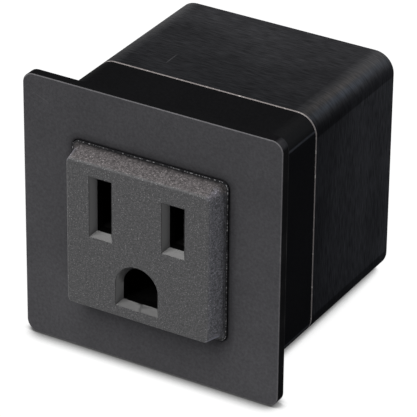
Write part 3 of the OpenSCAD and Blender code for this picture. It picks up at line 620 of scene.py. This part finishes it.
base_material, tree, shader, where = piece_material("black_phenolic", 0.55, 0.1)
grain = use_effect(tree, blast_grain, Place=where, Size=0.5 * MM)
tree.links.new(mix_colour(tree, ramp(tree, grain.outputs["Cloud"], 0.35, 0.65), base_black, base_grey),
               shader.inputs["Base Color"])
tree.links.new(ramp(tree, grain.outputs["Shade"], 0.3, 0.7, 0.48, 0.62), shader.inputs["Roughness"])
raise_bumps(tree, shader, grain.outputs["Height"], 0.01 * MM)
dress("outlet_base", base_material)

# Contacts
# Three folded springs of brass strip that grip the blades and the earth pin, rolled lengthwise
# and a little tarnished in patches.
strip_brass = (0.62, 0.42, 0.16, 1)
strip_tarnish = (0.32, 0.19, 0.07, 1)
lip_shadow = (0.004, 0.003, 0.002, 1)
lip_end = 5.0 * MM

# Long fine marks of rolled sheet, and the slow clouds of tarnish or plating.
rolled_sheet, start, end = new_effect(
    "rolled_sheet", [("Place", "v")], [("Height", "f"), ("Tarnish", "f")])
marks = place(rolled_sheet, "ShaderNodeTexNoise", Vector=start.outputs["Place"], Scale=1.0, Detail=3.0)
rolled_sheet.links.new(marks.outputs["Fac"], end.inputs["Height"])
clouds = place(rolled_sheet, "ShaderNodeTexNoise",
               Vector=stretched(rolled_sheet, start.outputs["Place"], (0.12, 0.12, 0.12)), Scale=1.0, Detail=2.0)
rolled_sheet.links.new(ramp(rolled_sheet, clouds.outputs["Fac"], 0.4, 0.65), end.inputs["Tarnish"])


def sheet_metal(name, clean, dulled, smooth, dull, lay, depth):
    """Bare or plated metal whose marks run as lay says; smooth and dull are its two roughnesses."""
    material, tree, shader, where = piece_material(name, smooth, 0.5)
    shader.inputs["Metallic"].default_value = 1.0
    sheet = use_effect(tree, rolled_sheet, Place=stretched(tree, where, lay))
    tree.links.new(mix_colour(tree, sheet.outputs["Tarnish"], clean, dulled), shader.inputs["Base Color"])
    tree.links.new(ramp(tree, sheet.outputs["Tarnish"], 0.0, 1.0, smooth, dull), shader.inputs["Roughness"])
    raise_bumps(tree, shader, sheet.outputs["Height"], depth)
    return material


contact_brass = sheet_metal("rolled_brass", strip_brass, strip_tarnish, 0.3, 0.5, (2200, 260, 2200), 0.004 * MM)
tree = contact_brass.node_tree
shader = next(node for node in tree.nodes if node.type == "BSDF_PRINCIPLED")
# Painted shade: the contacts' front ends, seen through the openings, are darkened.
shaded_lips = ramp(tree, along(tree, tree.nodes.new("ShaderNodeTexCoord").outputs["Object"], "Y"), lip_end, lip_end - 1.0 * MM)
clean = shader.inputs["Base Color"].links[0].from_socket
tree.links.new(mix_colour(tree, shaded_lips, clean, lip_shadow), shader.inputs["Base Color"])
for contact in ("neutral_contact", "line_contact", "ground_contact"):
    dress(contact, contact_brass)

# Terminal screws
# Turned screws coded by colour: nickel for the neutral wire, brass for the line, and a green
# dye over the plating for the earth.
for terminal, clean, dulled in (
    ("neutral", (0.6, 0.58, 0.54, 1), (0.42, 0.4, 0.36, 1)),
    ("line", (0.66, 0.45, 0.17, 1), (0.4, 0.25, 0.09, 1)),
    ("ground", (0.03, 0.2, 0.07, 1), (0.015, 0.1, 0.035, 1)),
):
    turned = sheet_metal(terminal + "_turned", clean, dulled, 0.25, 0.42, (1500, 1500, 1500), 0.003 * MM)
    dress(terminal + "_terminal_screw", turned)

# Clamp plates
# Pressed steel plates that the terminal screws pull down on the wire, zinc plated and tumbled.
zinc_bright = (0.5, 0.51, 0.53, 1)
zinc_dull = (0.33, 0.34, 0.36, 1)

tumbled_zinc = sheet_metal("tumbled_zinc", zinc_bright, zinc_dull, 0.36, 0.55, (1800, 1800, 700), 0.005 * MM)
for terminal in ("neutral", "line", "ground"):
    dress(terminal + "_clamp_plate", tumbled_zinc)

# Retaining frame and its screws
# A zinc plated steel frame that holds the outlet against the faceplate from behind, with the
# screws that clamp it and the two that hold the outlet's halves together.
frame_zinc = sheet_metal("sheet_zinc", zinc_bright, zinc_dull, 0.32, 0.5, (300, 1900, 1900), 0.004 * MM)
dress("retaining_frame", frame_zinc)
screw_zinc = sheet_metal("screw_zinc", zinc_bright, zinc_dull, 0.28, 0.46, (1400, 2600, 1400), 0.003 * MM)
for screws in ("retaining_screws", "outlet_screws"):
    dress(screws, screw_zinc)

# Bonding strap
# A bent brass strip that ties the earth contact to the metal housing.
strap_brass = sheet_metal("strap_brass", strip_brass, strip_tarnish, 0.34, 0.52, (2200, 2200, 240), 0.004 * MM)
dress("bonding_strap", strap_brass)

# Insulating liner
# A sleeve of vulcanised fibre between the terminals and the tube, calendered grey-brown sheet
# with short paper fibres in it.
fibre_pale = (0.47, 0.42, 0.3, 1)
fibre_dark = (0.36, 0.31, 0.21, 1)

liner_material, tree, shader, where = piece_material("vulcanised_fibre", 0.6, 0.3)
fibres = use_effect(tree, rolled_sheet, Place=stretched(tree, where, (2600, 700, 2600)))
tree.links.new(mix_colour(tree, ramp(tree, fibres.outputs["Height"], 0.35, 0.65), fibre_dark, fibre_pale),
               shader.inputs["Base Color"])
tree.links.new(ramp(tree, fibres.outputs["Tarnish"], 0.0, 1.0, 0.5, 0.7), shader.inputs["Roughness"])
raise_bumps(tree, shader, fibres.outputs["Height"], 0.012 * MM)
dress("insulating_liner", liner_material)

# Back cover
# An aluminium plate let into the tube's rear end, milled, blasted and anodised black like the
# faceplate, with its edges a little rubbed.
cover_grey = (0.028, 0.028, 0.0295, 1)
cover_low, cover_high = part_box("back_cover")

cover_material, tree, shader, where = piece_material("cover_black", 0.55, 0.15)
grain = use_effect(tree, blast_grain, Place=where, Size=blast_size)
outline = use_effect(tree, square_reach, Place=where, Half_Width=cover_high.x, Half_Height=cover_high.z,
                     Corner=2.0 * MM).outputs["Reach"]
rubbed = sums(tree, "MULTIPLY", ramp(tree, outline, -0.4 * MM, -0.05 * MM, 0.0, 0.5),
              ramp(tree, grain.outputs["Cloud"], 0.4, 0.6, 0.3, 1.0))
shade = sums(tree, "MULTIPLY", ramp(tree, grain.outputs["Shade"], 0.3, 0.7, 0.84, 1.16),
             ramp(tree, grain.outputs["Cloud"], 0.3, 0.7, 0.9, 1.1))
tree.links.new(mix_colour(tree, rubbed, scale_colour(tree, cover_grey, shade), worn_and_highlight_grey), shader.inputs["Base Color"])
tree.links.new(ramp(tree, grain.outputs["Shade"], 0.3, 0.7, 0.5, 0.66), shader.inputs["Roughness"])
raise_bumps(tree, shader, grain.outputs["Height"], 0.012 * MM)
back_cover = dress("back_cover", cover_material)
soften_edges(back_cover, 0.1 * MM)

# Housing screws
# Steel screws through the cover's corners, blackened in hot oxide and oiled, and worn to a
# dull shine in patches.
oxide_black = (0.02, 0.02, 0.021, 1)
oxide_worn = (0.075, 0.072, 0.07, 1)

oxide_material, tree, shader, where = piece_material("black_oxide", 0.36, 0.4)
grain = use_effect(tree, blast_grain, Place=where, Size=0.35 * MM)
worn = ramp(tree, grain.outputs["Cloud"], 0.5, 0.7)
tree.links.new(mix_colour(tree, worn, oxide_black, oxide_worn), shader.inputs["Base Color"])
tree.links.new(ramp(tree, grain.outputs["Shade"], 0.3, 0.7, 0.28, 0.44), shader.inputs["Roughness"])
shader.inputs["Metallic"].default_value = 0.4
raise_bumps(tree, shader, grain.outputs["Height"], 0.005 * MM)
housing_screws = dress("housing_screws", oxide_material)
soften_edges(housing_screws, 0.06 * MM)

# Cord inlet
# A turned nylon bush through the middle of the cover and the nut that holds it inside, both
# black, with a soft sheen and the faint rings of the lathe.
nylon_black = (0.016, 0.016, 0.016, 1)
nylon_scuffed = (0.034, 0.034, 0.034, 1)

nylon_material, tree, shader, where = piece_material("black_nylon", 0.42, 0.4)
grain = use_effect(tree, blast_grain, Place=where, Size=0.4 * MM)
tree.links.new(mix_colour(tree, ramp(tree, grain.outputs["Cloud"], 0.5, 0.72), nylon_black, nylon_scuffed),
               shader.inputs["Base Color"])
tree.links.new(ramp(tree, grain.outputs["Shade"], 0.3, 0.7, 0.34, 0.5), shader.inputs["Roughness"])
from_middle = place(tree, "ShaderNodeVectorMath", Vector=stretched(tree, where, (1.0, 0.0, 1.0)))
from_middle.operation = "LENGTH"
rings = sums(tree, "SINE", sums(tree, "MULTIPLY", from_middle.outputs["Value"], math.tau / (0.25 * MM)))
raise_bumps(tree, shader, sums(tree, "MULTIPLY_ADD", rings, 0.3, grain.outputs["Height"]), 0.006 * MM)
inlet_bush = dress("inlet_bush", nylon_material)
soften_edges(inlet_bush, 0.15 * MM)
dress("inlet_locknut", nylon_material)
